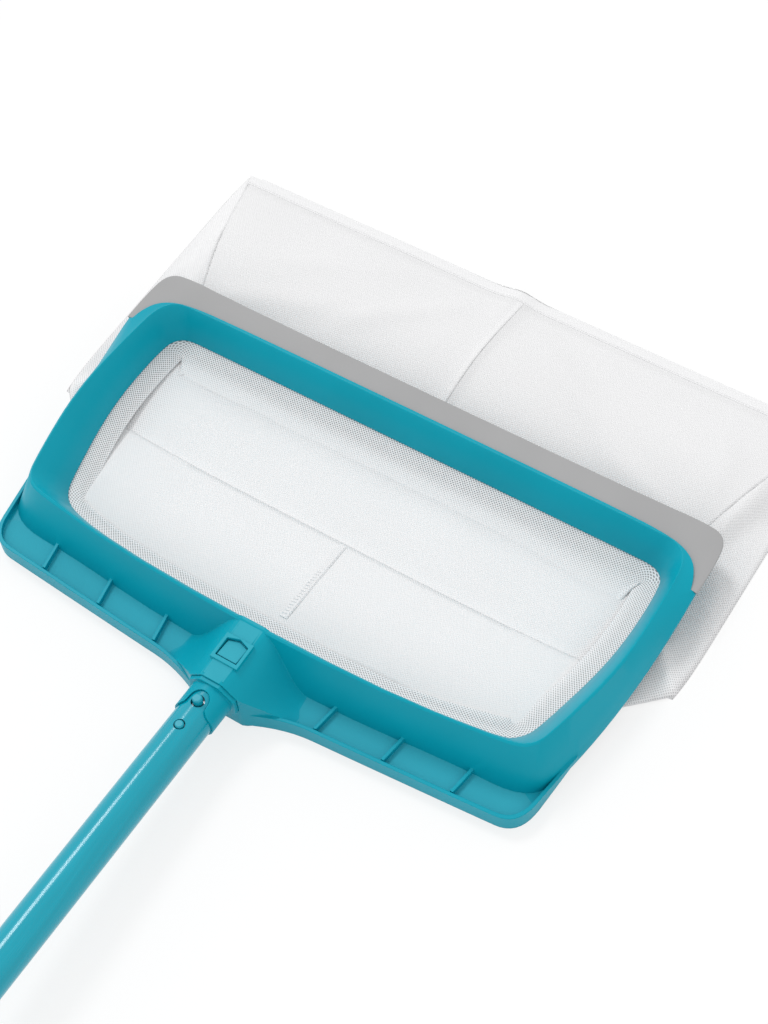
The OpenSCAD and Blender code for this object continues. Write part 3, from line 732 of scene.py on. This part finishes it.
class SKIMMER_OT_mouth_band(bpy.types.Operator):
    """Coarse band of net round the inside of the opening, folded under at its inner edge"""

    bl_idname = "skimmer.mouth_band"
    bl_label = "Mouth band"

    def drawn_in(self, last, inwards):
        """The band's next point inside the opening, with the openness and painted shade of its
        holes and its shade
        """
        # Shares of a point: in the opening's right part, on its far side, and on either end
        right = smooth((last.x - 0.1) / 0.08)
        far = smooth((-inwards.y - 0.25) / 0.5)
        side = smooth((abs(inwards.x) - 0.45) / 0.3)
        reach = REACH + REACH_RIGHT * right + REACH_FAR * far + REACH_SIDE * side * (1 - right)
        spot = last + inwards * reach
        spot.z -= max(SINK_FAR * far, SINK_SIDE * side)
        spot.z = max(spot.z, SINK_LOWEST)
        # A negative shade is a painted highlight along the band's inner fold
        return spot, 0.5 - 0.1 * far, -0.03

    def folded_under(self, last, inwards):
        """The band's last point, turned back under it or run out on the floor net"""
        far = smooth((-inwards.y + 0.1) / 1.05)
        spot = last + inwards * (UNDER_RUN * far - UNDER_TURN)
        spot.z -= UNDER_SINK
        spot.z = max(spot.z, UNDER_LOWEST)
        spot.z += (UNDER_FLOOR - spot.z) * far
        # Painted highlight on the turned edge at the sides, fading out at the far side
        return spot, 0.5 - 0.45 * far, 0.03 * far - 0.03

    def widened(self, bm, rings, layers):
        """Carries the strip on past its inner border by two rings, made in the strip's own order"""
        for onward in (self.drawn_in, self.folded_under):
            rim, ring = rings[-1], []
            for last, before in zip(rim, rings[-2]):
                inwards = (last.co - before.co).to_2d().normalized().to_3d()
                spot, *shown = onward(last.co, inwards)
                vertex = bm.verts.new(spot)
                for layer, value in zip(layers, shown):
                    vertex[layer] = value
                ring.append(vertex)
            for k in range(len(ring)):
                after = (k + 1) % len(ring)
                bm.faces.new((rim[k], rim[after], ring[after], ring[k]))
            rings.append(ring)

    def unrolled(self, bm, rings):
        """UV map of the strip: round the opening in U and across the strip in V, in metres"""
        uv = bm.loops.layers.uv.new("along")
        place, count = {}, len(rings[0])
        around = [0.0]
        for k in range(count):
            around.append(around[-1] + (rings[2][(k + 1) % count].co - rings[2][k].co).length)
        for k in range(count):
            across = 0.0
            for row, ring in enumerate(rings):
                if row:
                    across += (ring[k].co - rings[row - 1][k].co).length
                place[ring[k]] = (around[k], across)
        for face in bm.faces:
            spots = [place[loop.vert] for loop in face.loops]
            wraps = max(s[0] for s in spots) - min(s[0] for s in spots) > around[-1] / 2
            for loop, (u, v) in zip(face.loops, spots):
                loop[uv].uv = (u + around[-1] if wraps and u < around[-1] / 2 else u, v)

    def execute(self, context):
        bm = upper_side("bag_mouth_band", 0.3)
        bmesh.ops.join_triangles(
            bm, faces=bm.faces, angle_face_threshold=0.9, angle_shape_threshold=1.6)
        layers = [bm.verts.layers.float.new(name) for name in ("open", "shade")]
        # The band's holes show strong painted shade of the gap beneath it, and the band a little
        # painted shade
        for vertex in bm.verts:
            for layer, value in zip(layers, (0.85, 0.03)):
                vertex[layer] = value
        rings = rings_inwards(bm)
        if len(rings) != 3:
            raise RuntimeError(f"the band's strip has {len(rings)} rings and not 3")
        self.widened(bm, rings, layers)
        self.unrolled(bm, rings)
        refined(bm, BAND_FACET)
        bmesh.ops.recalc_face_normals(bm, faces=bm.faces)
        top = max(bm.faces, key=lambda face: face.calc_center_median().z)
        if top.normal.z < 0:
            bmesh.ops.reverse_faces(bm, faces=bm.faces)
        band = net_sheet(bm, "mouth_net_band", netting("band net", on_uv=True),
                         "bag_mouth_band", crease=60)
        return {"FINISHED"}


class SKIMMER_OT_bag(bpy.types.Operator):
    """Near wall, side walls, top and bottom of the bag"""

    bl_idname = "skimmer.bag"
    bl_label = "Bag"

    def near_wall(self, look):
        """Wall that slopes from the opening's near side down to the floor"""
        lowest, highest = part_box("bag_near_wall")
        bm = upper_sheet("bag_near_wall")
        for vertex in bm.verts:
            if not vertex.is_boundary:
                share = (vertex.co.y - lowest.y) / (highest.y - lowest.y)
                rise = 0.0007 * unevenness(vertex.co, 22)
                vertex.co.z += rise * smooth(4 * share) * smooth(4 - 4 * share)

        def open_holes(co):
            # The holes show more painted shade towards the opening's near side
            return 0.06 + 0.1 * smooth((lowest.y + 0.03 - co.y) / 0.03)

        def shade(co):
            # Painted shade in the crease at the wall's foot, and darker towards the opening's near
            # side
            crease_shade = 0.025 * hump(crease_line(co.x) - co.y - 0.002, 0.002)
            near = 0.07 * smooth((lowest.y + 0.06 - co.y) / 0.06)
            return crease_shade + near + 0.01 * unevenness(co, 18)

        piece = net_sheet(bm, "near_wall_net", look, "bag_near_wall",
                          open=open_holes, shade=shade)

    def bottom(self, look):
        """Net on the floor, from the near wall's foot to the hem"""
        bm = bmesh.new()
        bmesh.ops.create_grid(bm, x_segments=140, y_segments=70, size=1)
        for vertex in bm.verts:
            u, v = vertex.co.xy
            x = u * (FLOOR_FAR.x - 0.003 * abs(v) ** 8)
            start = crease_line(x) - 0.0025
            y = start + (FLOOR_FAR.y - start) * (v + 1) / 2
            vertex.co = (x, y, FLOOR_FAR.z)
            inside = smooth((1 - abs(u)) * 8) * smooth((v + 1) * 4) * smooth((1 - v) * 5)
            rise = 0.0006 * (1 + unevenness(vertex.co, 20)) * inside
            vertex.co.z += tail_lift(vertex.co) + rise

        # Share of a point by the opening's far side, where the holes and the net take painted shade
        def far_edge(co):
            depth = MOUTH_FAR - 0.012 - co.y
            return smooth(1 - depth / (0.042 + 0.01 * unevenness(co, 16)))

        def side_edge(co):
            return smooth(1 - (0.215 - abs(co.x)) / 0.03)

        def open_holes(co):
            edge = max(far_edge(co), 0.6 * side_edge(co))
            return 0.05 + 0.5 * edge + 0.03 * unevenness(co, 24)

        def shade(co):
            # Painted highlight just past the near wall's foot, and painted shade by the opening's
            # far side
            lit = -0.03 * hump(co.y - crease_line(co.x) - 0.003, 0.003)
            return lit + 0.05 * far_edge(co) + 0.012 * unevenness(co, 15)

        piece = net_sheet(bm, "bottom_net", look, "bag_bottom_panel",
                          open=open_holes, shade=shade)

    def side_wall(self, look, side):
        """Flap from the opening's side to the hem's corner, with a sharp fold and two soft ones"""
        name = f"bag_{side}_wall"
        bm = upper_sheet(name)
        sign = 1 if side == "right" else -1
        flap = ((0.244, 0.218), (0.279, 0.184), 0.007, 0.005)
        flaps = (((0.262, 0.30), (0.280, 0.22), 0.012, 0.0025),
                 ((0.240, 0.40), (0.279, 0.30), 0.014, 0.0022))
        for vertex in bm.verts:
            mirrored = Vector((sign * vertex.co.x, vertex.co.y, 0))
            inside = smooth((FLOOR_FAR.x - abs(vertex.co.x)) / 0.012)
            if not vertex.is_boundary:
                vertex.co.z += inside * (sum(fold(mirrored, *one) for one in flaps)
                                         + crease(mirrored, *flap)
                                         + 0.0009 * unevenness(vertex.co, 20))

        def open_holes(co):
            return 0.3 - 0.2 * smooth((co.y - 0.25) / 0.1) + 0.06 * unevenness(co, 20)

        def shade(co):
            mirrored = Vector((sign * co.x, co.y, 0))
            # Painted highlight along the sharp fold
            return 0.012 * unevenness(co, 15) - crease(mirrored, *flap[:2], 0.004, 0.09)

        piece = net_sheet(bm, f"{side}_wall_net", look, name, open=open_holes, shade=shade)

    def top(self, look):
        """Top side, which lies on the floor net beyond the lip"""
        bm = upper_sheet("bag_top_panel", relax=10)
        for vertex in bm.verts:
            vertex.co.z += top_rise(vertex.co)

        def open_holes(co):
            return 0.07 + 0.04 * unevenness(co, 16)

        def shade(co):
            # Painted shade along the hem's seam and beside the centre seam, and a little over the
            # whole top side
            hem_seam_shade = 0.05 * hump(co.y - TAIL + 0.0125, 0.0022)
            by_seam = 0.03 * hump(co.x - 0.006, 0.003)
            return hem_seam_shade + by_seam + 0.02 * unevenness(co, 12) + 0.035

        piece = net_sheet(bm, "top_net", look, "bag_top_panel", open=open_holes, shade=shade)

    def execute(self, context):
        look = netting("bag net")
        self.near_wall(look)
        self.bottom(look)
        self.side_wall(look, "left")
        self.side_wall(look, "right")
        self.top(look)
        return {"FINISHED"}


class Row(NamedTuple):
    """A straight row of stitches, whose threads may point another way than the row"""

    start: tuple
    end: tuple
    step: float
    reach: float
    radius: float
    direction: tuple | None = None


def stitches(name, surface, rows, material):
    """Rows of short threads laid on a surface"""
    bm = bmesh.new()
    tree = BVHTree.FromObject(surface, bpy.context.evaluated_depsgraph_get())
    for row in rows:
        start, end = Vector((*row.start, 0)), Vector((*row.end, 0))
        count = max(2, round((end - start).length / row.step))
        for k in range(count):
            spot = start.lerp(end, (k + 0.5) / count)
            hit, normal, _, _ = tree.ray_cast(Vector((spot.x, spot.y, 0.1)), Vector((0, 0, -1)))
            if hit is None:
                continue
            along = Vector(row.direction) if row.direction else (end - start)
            along = (along - normal * along.dot(normal)).normalized()
            turn = along.to_track_quat("Z", "Y").to_matrix().to_4x4()
            spot = Matrix.Translation(hit + normal * row.radius * 0.4)
            bmesh.ops.create_cone(bm, cap_ends=True, segments=6, radius1=row.radius,
                                  radius2=row.radius * 0.7, depth=row.reach, matrix=spot @ turn)
    return placed(bm, name, material, "tape", [], crease=50)


class SKIMMER_OT_hem_and_seams(bpy.types.Operator):
    """Hem at the tail, tapes over the centre seams and their stitches"""

    bl_idname = "skimmer.hem_and_seams"
    bl_label = "Hem and seams"

    def strip(self, name, title, facet, look, holes, rise=None):
        """A hem or tape of doubled net, raised by what the net under it is raised by"""
        bm = welded(name)
        refined(bm, facet)
        if rise:
            for vertex in bm.verts:
                vertex.co.z += rise(vertex.co)
        return placed(bm, title, look, "tape", [name], crease=50,
                      open=lambda co: holes, shade=lambda co: 0.0)

    def execute(self, context):
        cloth = context.scene.skimmer_net
        tape = sewn("seam tape", cloth.tape)
        doubled = netting("doubled net")
        thread = sewn("sewing thread", cloth.thread)
        hem = self.strip("bag_hem", "tail_hem", 0.006, doubled, 0.03, hem_rise)
        near = self.strip("near_seam_binding", "near_seam_tape", 0.003, doubled, 0.12)
        top = self.strip("top_seam_binding", "top_seam_tape", 0.004, doubled, 0.03, top_rise)

        step, reach = cloth.stitch, cloth.stitch * 0.7
        low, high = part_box("near_seam_binding")
        stitches("near_seam_thread", near, (
            Row((0.0022, low.y + 0.001), (0.0022, high.y - 0.001), step, reach, 0.00035),
            Row((-0.0012, low.y + 0.002), (-0.0012, high.y - 0.03), 0.0031, 0.0035, 0.0003,
                direction=(1, 0.25, 0)),
        ), thread)
        low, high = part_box("top_seam_binding")
        stitches("top_seam_thread", top, [
            Row((x, low.y), (x, high.y), step, reach, 0.0002) for x in (-0.0022, 0.0022)
        ], tape)
        low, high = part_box("bag_hem")
        stitches("hem_thread", hem, (
            Row((low.x + 0.002, TAIL - 0.0085), (high.x - 0.002, TAIL - 0.0085), 0.0036, 0.0026,
                0.00022),
        ), thread)
        return {"FINISHED"}


# ------------------------------------------------------------------ stage

WHITE = (1, 1, 1, 1)
LENS = 69.573  # millimetres, on a 36 mm sensor
CAMERA_PLACE = (0.52146, -0.45149, 1.28817)
CAMERA_TURN = (32.9296, 3.3666, 32.3793)  # degrees about X, Y and Z
KEY_FROM = (-0.62, 0.35, 1.0)
KEY_WIDTH = 16  # degrees across the lamp's disc
FLOOR_HALF = 6  # metres from the middle to an edge
FLOOR_GLOW = 1.03
GLOW_SHARE = 0.72  # the rest of the floor is lit, and so keeps the shadow


class SKIMMER_OT_stage(bpy.types.Operator):
    """Floor, lamps, world and camera"""

    bl_idname = "skimmer.stage"
    bl_label = "Stage"

    def seen(self, tree):
        """The kinds of rays, and 1 on those that come from the camera or from a gloss"""
        rays = node(tree, "LightPath", (-3, 0)).outputs
        return rays, calc(tree, "MAXIMUM", (-2, 0), rays["Is Camera Ray"], rays["Is Glossy Ray"])

    def camera(self, scene):
        """Camera above the pole's right side"""
        cam = bpy.data.cameras.new("camera")
        cam.sensor_width = 36
        cam.sensor_fit = "AUTO"
        cam.lens = LENS
        holder = bpy.data.objects.new("camera", cam)
        scene.collection.objects.link(holder)
        turn = Euler([math.radians(angle) for angle in CAMERA_TURN])
        holder.matrix_world = Matrix.LocRotScale(Vector(CAMERA_PLACE), turn, None)
        scene.camera = holder

    def floor(self, scene, stage):
        """Pale floor that shows as white apart from the object's shadow"""
        bm = bmesh.new()
        bmesh.ops.create_grid(bm, x_segments=1, y_segments=1, size=FLOOR_HALF)
        mesh = bpy.data.meshes.new("floor")
        bm.to_mesh(mesh)
        bm.free()
        floor = bpy.data.objects.new("floor", mesh)
        scene.collection.objects.link(floor)
        material = bpy.data.materials.new("floor")
        material.use_nodes = True
        tree = material.node_tree
        tree.nodes.clear()
        rays, seen = self.seen(tree)
        seen = calc(tree, "MAXIMUM", (0, 0), seen, rays["Is Transmission Ray"])
        share = calc(tree, "MULTIPLY", (1, 0), seen, GLOW_SHARE)
        lit = node(tree, "BsdfDiffuse", (1, 1), {"Color": stage.floor})
        glow = node(tree, "Emission", (1, 2), {"Color": WHITE, "Strength": FLOOR_GLOW})
        mixed = node(tree, "MixShader", (2, 0), {0: share, 1: lit.outputs[0], 2: glow.outputs[0]})
        node(tree, "OutputMaterial", (3, 0), {"Surface": mixed.outputs[0]})
        mesh.materials.append(material)

    def sky(self, scene, stage):
        """World that shows as white and lights at its own strength"""
        world = bpy.data.worlds.new("world")
        scene.world = world
        world.use_nodes = True
        tree = world.node_tree
        tree.nodes.clear()
        _, seen = self.seen(tree)
        strength = node(tree, "MapRange", (0, 0), {
            "Value": seen, "To Min": stage.world, "To Max": 1.0}).outputs[0]
        sky = node(tree, "Background", (1, 0), {"Color": WHITE, "Strength": strength})
        node(tree, "OutputWorld", (2, 0), {"Surface": sky.outputs[0]})

    def key(self, scene, stage):
        """Soft lamp from the left"""
        lamp = bpy.data.lights.new("key", "SUN")
        lamp.energy = stage.key
        lamp.angle = math.radians(KEY_WIDTH)
        key = bpy.data.objects.new("key", lamp)
        key.rotation_euler = Vector(KEY_FROM).to_track_quat("Z", "Y").to_euler()
        scene.collection.objects.link(key)

    def execute(self, context):
        scene, stage = context.scene, context.scene.skimmer_stage
        self.camera(scene)
        self.floor(scene, stage)
        scene.view_settings.view_transform = "Standard"
        self.sky(scene, stage)
        self.key(scene, stage)
        return {"FINISHED"}


# ------------------------------------------------------------------ add-on


class SKIMMER_PT_panel(bpy.types.Panel):
    """Lists the operators and the sizes"""

    bl_idname = "SKIMMER_PT_panel"
    bl_label = "Leaf skimmer net"
    bl_space_type = "VIEW_3D"
    bl_region_type = "UI"
    bl_category = "Skimmer"

    def draw(self, context):
        for operator in OPERATORS:
            self.layout.operator(operator.bl_idname)
        for group in GROUPS:
            box = self.layout.box()
            holder = getattr(context.scene, group)
            for name in holder.__annotations__:
                box.prop(holder, name)


GROUPS = {
    "skimmer_finish": SkimmerFinish,
    "skimmer_net": SkimmerNet,
    "skimmer_stage": SkimmerStage,
}
OPERATORS = (
    SKIMMER_OT_head,
    SKIMMER_OT_scraper_lip,
    SKIMMER_OT_socket_and_latch,
    SKIMMER_OT_snap_clips,
    SKIMMER_OT_pole,
    SKIMMER_OT_mouth_band,
    SKIMMER_OT_bag,
    SKIMMER_OT_hem_and_seams,
    SKIMMER_OT_stage,
)


def register():
    """Makes the classes known and gives the scene their sizes and colours"""
    for cls in (*GROUPS.values(), *OPERATORS, SKIMMER_PT_panel):
        bpy.utils.register_class(cls)
    for name, cls in GROUPS.items():
        setattr(bpy.types.Scene, name, bpy.props.PointerProperty(type=cls))


def unregister():
    """Takes back what register did"""
    for name in GROUPS:
        delattr(bpy.types.Scene, name)
    for cls in (SKIMMER_PT_panel, *reversed(OPERATORS), *reversed(GROUPS.values())):
        bpy.utils.unregister_class(cls)


def main():
    """Builds every piece in order"""
    register()
    make_moulded_group()
    make_net_group()
    make_tape_group()
    bpy.ops.skimmer.head()
    bpy.ops.skimmer.scraper_lip()
    bpy.ops.skimmer.socket_and_latch()
    bpy.ops.skimmer.snap_clips()
    bpy.ops.skimmer.pole()
    bpy.ops.skimmer.mouth_band()
    bpy.ops.skimmer.bag()
    bpy.ops.skimmer.hem_and_seams()
    bpy.ops.skimmer.stage()


if __name__ == "__main__":
    main()
